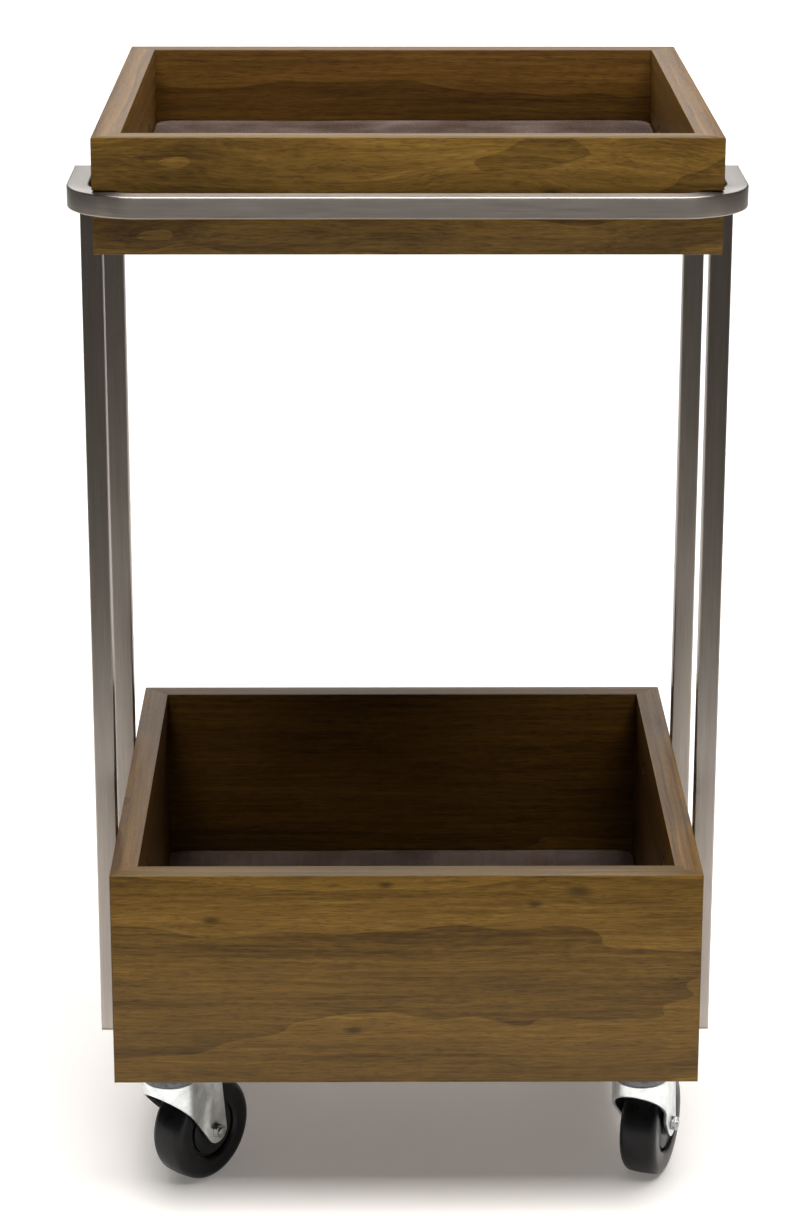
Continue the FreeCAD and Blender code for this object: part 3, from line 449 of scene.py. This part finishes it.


# Each board: turn in degrees, shift and pith in metres, tilt in degrees, sway in millimetres,
# tint (on side, back and bottom boards also painted shade), knots. A strong lean and sway give the
# tray's front its pointed arches.
BOARDS = {
    "tray_front_board": (0, (0.31, 0.02, -0.755), (0, 0.05, 0), 9, 30, PLAIN,
                         pin_knots(TRAY_KNOTS)),
    "tray_rear_board": (0, (1.7, 0.3, -0.74), (0, 0.26, 0.12), 1, 6, SHADED, ()),
    "tray_left_board": (90, (2.9, 0.1, -0.76), (0, 0.03, 0.05), 3, 6, WARM_PAINTED_SHADE, ()),
    "tray_right_board": (90, (4.1, 0.6, -0.77), (0, 0.04, -0.06), 3, 6, WARM_PAINTED_SHADE, ()),
    "box_front_board": (0, (5.3, 0.2, -0.19), (0, 0.24, 0.02), 3, 10, OLIVE,
                        pin_knots(BOX_KNOTS)),
    "box_rear_board": (0, (6.7, 0.4, -0.18), (0, 0.18, -0.03), 2, 9, DARK_PAINTED_SHADE, ()),
    "box_left_board": (90, (7.9, 0.1, -0.2), (0, 0.06, 0.1), 3, 6, DARK_PAINTED_SHADE, ()),
    "box_right_board": (90, (9.3, 0.5, -0.21), (0, 0.07, -0.1), 3, 6, WARM_PAINTED_SHADE, ()),
    "tray_bottom_panel": (90, (10.9, 0.2, -0.72), (0, 0.2, 0.02), 2, 7, SHADED, ()),
    "box_bottom_panel": (90, (12.2, 0.6, -0.12), (0, 0.2, 0.02), 2, 7, SHADED, ()),
}
print("boards and panels:", len(BOARDS))

# %% Boards
ARRIS = 0.7 * MM
LONG_EDGE = 60 * MM
for node, cut in BOARDS.items():
    bm = merged_copy(node)
    eased = ease_edges(bm, ARRIS, least_length=LONG_EDGE)
    make_piece(bm, node + "_wood", "root", "walnut", walnut("walnut_" + node, *cut), node)
    print(node, "eased edges:", eased)

# %% [markdown]
# ## Floor sheets
# A soft sheet cut from a roll keeps some of its curl, so it lies in very shallow waves with rounded
# corners. A flat copy would look like glass. A rectangle of the CAD sheet's size gets rounded
# corners and is cut into a fine grid, which is extruded to the sheet's thickness. The points of its
# top then sink by up to half a millimetre on two crossing waves.

# %% Sheets
SHEET_CORNER = 13 * MM
GRID_STEPS = 30
WAVE_HEIGHT = 0.25 * MM
WAVES_ACROSS = 41            # radians of the first wave per metre across the trolley
WAVES_BEND = (3, 13)         # how far it bends, and radians of the bend per metre front to back
WAVES_DEEP = (33, 9)         # radians of the second wave per metre front to back, and across


def sink(x, y):
    """How far a point of the sheet's top lies below the highest, as a share of the wave height."""
    bend, bends = WAVES_BEND
    deep, across = WAVES_DEEP
    wave = math.sin(x * WAVES_ACROSS + bend * math.sin(y * bends)) + math.sin(y * deep + x * across)
    return (wave - 2) / 2


def wavy_sheet(node, body):
    """A loose sheet with rounded corners and a slightly wavy top."""
    low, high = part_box(node)
    bm = bmesh.new()
    bmesh.ops.create_grid(bm, x_segments=1, y_segments=1, size=0.5)
    bmesh.ops.scale(bm, vec=(high.x - low.x, high.y - low.y, 1), verts=bm.verts)
    bmesh.ops.bevel(bm, geom=bm.verts[:], offset=SHEET_CORNER, offset_type="OFFSET",
                    affect="VERTICES", segments=8, profile=0.5, material=-1)
    for axis, span in ((0, high.x - low.x), (1, high.y - low.y)):
        for step in range(1, GRID_STEPS):
            point = Vector((0, 0, 0))
            point[axis] = (step / GRID_STEPS - 0.5) * span
            normal = Vector((0, 0, 0))
            normal[axis] = 1
            geometry = bm.verts[:] + bm.edges[:] + bm.faces[:]
            bmesh.ops.bisect_plane(bm, geom=geometry, dist=SAME_POINT, plane_co=point,
                                   plane_no=normal)
    middle = (low + high) / 2
    bmesh.ops.translate(bm, vec=(middle.x, middle.y, low.z), verts=bm.verts)
    extruded = bmesh.ops.extrude_face_region(bm, geom=bm.faces[:])
    top = [item for item in extruded["geom"] if isinstance(item, bmesh.types.BMVert)]
    for vert in top:
        vert.co.z = high.z + WAVE_HEIGHT * sink(vert.co.x, vert.co.y)
    bmesh.ops.recalc_face_normals(bm, faces=bm.faces)
    print(node, "faces:", len(bm.faces))
    return make_piece(bm, node + "_pvc", body, "clear_sheet", SHEET, node)


wavy_sheet("tray_floor_sheet", "tray_sheet")
wavy_sheet("box_floor_sheet", "box_sheet")

# %% [markdown]
# ## Legs
# Each leg is a length of 15 mm square tube with small rolled corners and a plate welded in each
# end. The tube copies carry a UV map for the brushing: U is the height and V runs round the tube.
# The legs on the right read another stretch of the pattern, so that no two sides match.

# %% Legs
CORNERS = ("front_left", "front_right", "rear_left", "rear_right")
RIGHT_STRETCH = 3.0          # metres further along the brushing
WELD_EDGE = 0.5 * MM


def brushing_map(bm, along_and_across):
    """Give a bmesh the UV map that the brushed finish follows."""
    layer = bm.loops.layers.uv.new("brushing")
    for face in bm.faces:
        for loop in face.loops:
            loop[layer].uv = along_and_across(loop.vert.co)


for corner in CORNERS:
    bm = merged_copy("leg_" + corner)
    side = RIGHT_STRETCH if "right" in corner else 0.0
    brushing_map(bm, lambda co: (co.z + side, co.x + co.y))
    make_piece(bm, f"leg_{corner}_tube", "root", "brushed_steel", STEEL, "leg_" + corner)

for node in ("leg_top_plates", "leg_foot_plates", "handle_end_plates"):
    bm = merged_copy(node)
    eased = ease_edges(bm, WELD_EDGE)
    brushing_map(bm, lambda co: (co.x + co.z, co.y))
    make_piece(bm, node + "_welded", "root", "brushed_steel", STEEL, node)
    print(node, "eased edges:", eased)

# %% [markdown]
# ## Handle
# The handle is one tube bent twice. A bent tube is a square section carried along a path, so the
# section's ring is extruded down the first arm, spun a quarter turn round the first bend's centre,
# extruded across the front, spun again and extruded back. The brushing map measures the length
# along that same path.

# %% Handle's sizes
TUBE = 15 * MM
TUBE_CORNER = 1.2 * MM
BEND = 44.5 * MM             # radius of the bend's centre line
BEND_STEPS = 28
handle_low, handle_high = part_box("handle")
half_tube = TUBE / 2
arm_x = handle_high.x - half_tube
front_y = handle_low.y + half_tube
arm_end = handle_high.y
tube_z = (handle_low.z + handle_high.z) / 2
bend_x = arm_x - BEND
bend_y = front_y + BEND
print("handle path length:", round(2 * (bend_x + BEND * math.pi / 2 + arm_end - bend_y), 3))

# %% Handle
def extrude_ring(bm, ring, shift):
    """Carry a ring of edges along a straight run; returns the ring at its far end."""
    made = bmesh.ops.extrude_edge_only(bm, edges=ring)["geom"]
    moved = [item for item in made if isinstance(item, bmesh.types.BMVert)]
    bmesh.ops.translate(bm, vec=shift, verts=moved)
    return [item for item in made
            if isinstance(item, bmesh.types.BMEdge) and not item.is_manifold]


def spin_ring(bm, ring, centre, degrees):
    """Carry a ring of edges round a vertical axis; returns the ring at its far end."""
    made = bmesh.ops.spin(bm, geom=ring, cent=centre, axis=(0, 0, 1), angle=math.radians(degrees),
                          steps=BEND_STEPS, use_duplicate=False)
    return [item for item in made["geom_last"] if isinstance(item, bmesh.types.BMEdge)]


def along_handle(co):
    """Length along the centre line from the middle of the handle's front, and distance across."""
    side = 1 if co.x >= 0 else -1
    x = abs(co.x)
    if x < bend_x:
        return side * x, co.y - front_y + co.z
    if co.y > bend_y:
        return side * (bend_x + BEND * math.pi / 2 + co.y - bend_y), arm_x - x + co.z
    angle = math.atan2(x - bend_x, bend_y - co.y)
    radius = math.hypot(x - bend_x, bend_y - co.y)
    return side * (bend_x + BEND * angle), BEND - radius + co.z


bm = bmesh.new()
bmesh.ops.create_grid(bm, x_segments=1, y_segments=1, size=half_tube)
bmesh.ops.rotate(bm, cent=(0, 0, 0), matrix=Matrix.Rotation(math.radians(90), 3, "X"),
                 verts=bm.verts)
bmesh.ops.bevel(bm, geom=bm.verts[:], offset=TUBE_CORNER, offset_type="OFFSET", affect="VERTICES",
                segments=4, profile=0.5, material=-1)
bmesh.ops.delete(bm, geom=bm.faces[:], context="FACES_ONLY")
bmesh.ops.translate(bm, vec=(-arm_x, arm_end, tube_z), verts=bm.verts)
ring = extrude_ring(bm, bm.edges[:], (0, bend_y - arm_end, 0))
ring = spin_ring(bm, ring, (-bend_x, bend_y, tube_z), 90)
ring = extrude_ring(bm, ring, (2 * bend_x, 0, 0))
ring = spin_ring(bm, ring, (bend_x, bend_y, tube_z), 90)
extrude_ring(bm, ring, (0, arm_end - bend_y, 0))
bmesh.ops.remove_doubles(bm, verts=bm.verts, dist=0.01 * MM)
bmesh.ops.recalc_face_normals(bm, faces=bm.faces)
print("handle faces:", len(bm.faces))
brushing_map(bm, along_handle)
make_piece(bm, "handle_tube", "root", "brushed_steel", STEEL, "handle")

# %% [markdown]
# ## Fasteners
# Small parts catch small highlights. The frame's bolts, inserts and screws have plain cylinder
# heads; easing their rims is enough at their size.

# %% Fasteners
HEAD_RIM = 0.4 * MM
for node in ("leg_bolts", "leg_inserts", "caster_screws"):
    bm = merged_copy(node)
    eased = ease_edges(bm, HEAD_RIM, least_angle=60)
    make_piece(bm, node + "_plated", "root", "fastener_steel", FASTENER, node)
    print(node, "eased edges:", eased)

# %% [markdown]
# ## Wheels
# A hard rubber wheel is moulded in one, with a crowned tread, round shoulders, a ring groove in
# each side and a raised hub. It is made the lathe way: the section is spun a full turn about the
# axle. Half of the section is enough, because the other half is its mirror image.

# %% Wheels
# The half section, as (distance from the wheel's middle plane, radius) in millimetres.
HUB = [(14.5, 4.56), (14.5, 8.2), (14.1, 9), (13.2, 9.6), (12.5, 10.2)]
WEB = [(12.5, 19.0), (12.2, 19.6)]
RING_GROOVE = [(10.2, 20.1), (10.0, 20.6), (10.0, 21.6), (10.2, 22.1)]
TYRE_SIDE = [(12.3, 22.5), (12.7, 23.0), (13.6, 24.2), (14.0, 25.0), (14.0, 33.8)]
SHOULDER_CENTRE = (8, 33.6)
SHOULDER = 6
SHOULDER_STEPS = 8
TREAD = [(4, 39.9), (0, 40)]
WHEEL_STEPS = 72
joints = {joint["name"]: joint for joint in frame["joints"]}


def spun_wheel(corner):
    """One caster's wheel, spun about the axle that the frame gives it."""
    shoulder = []
    for step in range(1, SHOULDER_STEPS + 1):
        angle = math.radians(90 * step / SHOULDER_STEPS)
        shoulder.append((SHOULDER_CENTRE[0] + SHOULDER * math.cos(angle),
                         SHOULDER_CENTRE[1] + SHOULDER * math.sin(angle)))
    half = HUB + WEB + RING_GROOVE + TYRE_SIDE + shoulder + TREAD
    section = half + [(-x, radius) for x, radius in reversed(half[:-1])]
    bm = bmesh.new()
    verts = [bm.verts.new((x * MM, 0, radius * MM)) for x, radius in section]
    edges = [bm.edges.new(pair) for pair in zip(verts, verts[1:] + verts[:1])]
    bmesh.ops.spin(bm, geom=verts + edges, cent=(0, 0, 0), axis=(1, 0, 0), angle=math.tau,
                   steps=WHEEL_STEPS, use_merge=True, use_duplicate=False)
    bmesh.ops.remove_doubles(bm, verts=bm.verts, dist=SAME_POINT)
    bmesh.ops.recalc_face_normals(bm, faces=bm.faces)
    joint = joints["spin_" + corner]
    axle = Vector(joint["axis"])
    turn = math.atan2(axle.y, axle.x)
    matrix = Matrix.Translation(Vector(joint["pos_m"])) @ Matrix.Rotation(turn, 4, "Z")
    bmesh.ops.transform(bm, matrix=matrix, verts=bm.verts)
    print(corner, "wheel faces:", len(bm.faces), "axle turned:", round(math.degrees(turn), 1))
    make_piece(bm, f"wheel_{corner}_moulded", "wheel_" + corner, "wheel_rubber", RUBBER,
               "caster_wheel_" + corner)


print("wheel section points:", 2 * len(HUB + WEB + RING_GROOVE + TYRE_SIDE + TREAD) - 1
      + 2 * SHOULDER_STEPS)

# %% [markdown]
# ## Casters
# A caster's fork is pressed from sheet: a round crown that runs down into two legs. Its edges are
# slightly rolled, so the copy of the frame's fork gets a small bevel all round. So do the mounting
# plate, the race, the kingpin, the axle's bolt and nut, and its sleeve, each in its own width. The
# wheel completes each caster.

# %% Casters
# Each kind of part: the body it rides on, its slot, its finish and its edges' width in millimetres.
EASED = {
    "plate": ("root", "zinc_plate", ZINC, 0.5),
    "kingpin": ("root", "fastener_steel", FASTENER, 0.5),
    "race": ("swivel", "dark_steel", RACE, 0.7),
    "fork": ("swivel", "zinc_plate", ZINC, 0.45),
    "axle_bolt": ("swivel", "fastener_steel", FASTENER, 0.4),
    "axle_nut": ("swivel", "fastener_steel", FASTENER, 0.4),
    "sleeve": ("swivel", "fastener_steel", FASTENER, 0.2),
}
for corner in CORNERS:
    for kind, (body, slot, material, width) in EASED.items():
        node = f"caster_{kind}_{corner}"
        bm = merged_copy(node)
        ease_edges(bm, width * MM, least_angle=45)
        rides = body if body == "root" else f"{body}_{corner}"
        make_piece(bm, f"{kind}_{corner}_finished", rides, slot, material, node)
    spun_wheel(corner)
    print(corner, "caster parts:", len(EASED) + 1)

# %% [markdown]
# ## Studio floor
# The trolley stands on pale paper that glows a little, so that it stays pale where the lamps thin
# out. Steel has no colour of its own to show: its upright faces mirror the floor metres away. In a
# studio the lamps are flagged off there and the floor is dark. A dark floor would look wrong in
# other views, so the dark is painted shade on a second plane, just above the paper, that only
# reflections see. It is paper near the trolley and painted shade beyond, a painted reflection, so
# steel shows a dark upper half and a light foot.

# %% Floor
PAPER = "FAF6F2"
# Painted shade: the colour of floor that the lamps don't reach, seen only in reflections.
PAINTED_SHADE_FLOOR = "56534F"
PAPER_GLOW = 0.17
STAGE_HALF = 20
STAGE_BACK = 5
ABOVE_PAPER = 0.1 * MM
PAINTED_SHADE_FRONT = (-0.6, -1.3)   # where the painted shade starts, and where it is full, in metres
PAINTED_SHADE_SIDES = (1.2, 2.4)


def stage_plane(name, height, material):
    """A large level plane that belongs to the studio."""
    bm = bmesh.new()
    bmesh.ops.create_grid(bm, x_segments=1, y_segments=1, size=STAGE_HALF)
    bmesh.ops.translate(bm, vec=(0, STAGE_BACK, height), verts=bm.verts)
    mesh = bpy.data.meshes.new(name)
    bm.to_mesh(mesh)
    bm.free()
    mesh.materials.append(material)
    plane = bpy.data.objects.new(name, mesh)
    bpy.context.scene.collection.objects.link(plane)
    return plane


def add_paper(tree, colour):
    """Matt paper that glows a little in its own colour, which is a value or a socket."""
    paper = add(tree, "BsdfPrincipled", {"Base Color": colour, "Roughness": 0.9,
                                         "Emission Color": colour,
                                         "Emission Strength": PAPER_GLOW})
    add(tree, "OutputMaterial", {"Surface": paper.outputs[0]})


pale_paper, paper_tree = new_material("pale_paper")
add_paper(paper_tree, linear(PAPER))
stage_plane("floor", 0, pale_paper).visible_glossy = False

# The plane that only reflections see: pale paper near the trolley, painted shade farther off.
paper_with_painted_shade, sweep_tree = new_material("paper_with_painted_shade")
axes = add(sweep_tree, "TexCoord").outputs["Object"]
axes = add(sweep_tree, "SeparateXYZ", {"Vector": axes}).outputs
from_middle = add(sweep_tree, "Math", {0: axes["X"]}, operation="ABSOLUTE").outputs[0]
out_of_painted_shade = 1.0
for distance, (inside, outside) in ((axes["Y"], PAINTED_SHADE_FRONT), (from_middle, PAINTED_SHADE_SIDES)):
    edge = add(sweep_tree, "MapRange", {"Value": distance, "From Min": outside,
                                        "From Max": inside},
               interpolation_type="SMOOTHSTEP").outputs[0]
    out_of_painted_shade = add(sweep_tree, "Math", {0: edge, 1: out_of_painted_shade}, operation="MULTIPLY").outputs[0]
sweep = add(sweep_tree, "ValToRGB", {"Fac": out_of_painted_shade}, stops=[(0.0, PAINTED_SHADE_FLOOR), (1.0, PAPER)])
add_paper(sweep_tree, sweep.outputs["Color"])
mirrored = stage_plane("floor_in_reflections", ABOVE_PAPER, paper_with_painted_shade)
mirrored.visible_camera = False
mirrored.visible_diffuse = False
mirrored.visible_transmission = False
mirrored.visible_shadow = False
print("floor planes:", STAGE_HALF * 2, "m wide")

# %% [markdown]
# ## Studio lamps
# All lamps are soft rectangles that hang level and face down. The key is above the trolley and a
# little in front, so it lights the rims and the front boards and leaves the box's inside in the
# shade of the tray. The far one lights the floor that the camera sees behind the trolley. The last
# three, with narrow beams that miss the trolley, keep the floor pale for the other views. A dim
# world fills the shadows.

# %% Lamps and world
LAMP_HEIGHT = 3.2
OPEN_BEAM = 180
NARROW_BEAM = 50
WORLD_STRENGTH = 0.08
# Each lamp: its place over the floor, its size in metres, its radiance and its beam in degrees.
LAMPS = {
    "key_above": ((0.2, -0.9), (3.0, 2.6), 7.8, OPEN_BEAM),
    "far_above": ((0, 7.4), (5.0, 9.6), 2.3, OPEN_BEAM),
    "front_floor": ((0, -6.2), (12, 5), 0.9, NARROW_BEAM),
    "left_floor": ((-5.5, 2), (4, 14), 2.2, NARROW_BEAM),
    "right_floor": ((5.5, 2), (4, 14), 2.2, NARROW_BEAM),
}
for name, (place, (size_x, size_y), radiance, beam) in LAMPS.items():
    lamp = bpy.data.lights.new(name, "AREA")
    lamp.shape = "RECTANGLE"
    lamp.size = size_x
    lamp.size_y = size_y
    lamp.energy = radiance * math.pi * size_x * size_y
    lamp.spread = math.radians(beam)
    holder = bpy.data.objects.new(name, lamp)
    holder.location = (*place, LAMP_HEIGHT)
    bpy.context.scene.collection.objects.link(holder)
    print(name, "watts:", round(lamp.energy))

world = bpy.data.worlds.new("studio")
world.use_nodes = True
world.node_tree.nodes["Background"].inputs["Color"].default_value = linear("F2EEEA")
world.node_tree.nodes["Background"].inputs["Strength"].default_value = WORLD_STRENGTH
bpy.context.scene.world = world
bpy.context.scene.view_settings.view_transform = "Standard"

# %% [markdown]
# ## Camera
# A long lens from the front, a little above the tray, looking down at 17.6 degrees. Turns are made
# in this order: roll about the lens, then down, then the small heading to the right.

# %% Camera
SENSOR_WIDTH = 36
FOCAL_LENGTH = 102.04
CAMERA_PLACE = (-0.0234, -2.4595, 1.1850)
LOOK_DOWN = 17.57
HEADING = -0.465
ROLL = 0.086
camera_data = bpy.data.cameras.new("camera")
camera_data.sensor_width = SENSOR_WIDTH
camera_data.lens = FOCAL_LENGTH
camera = bpy.data.objects.new("camera", camera_data)
bpy.context.scene.collection.objects.link(camera)
camera.location = CAMERA_PLACE
turned = (Matrix.Rotation(math.radians(HEADING), 3, "Z")
          @ Matrix.Rotation(math.radians(90 - LOOK_DOWN), 3, "X")
          @ Matrix.Rotation(math.radians(ROLL), 3, "Z"))
camera.rotation_euler = turned.to_euler()
bpy.context.scene.camera = camera
print("camera distance from the middle:", round(Vector(CAMERA_PLACE[:2]).length, 2), "m")
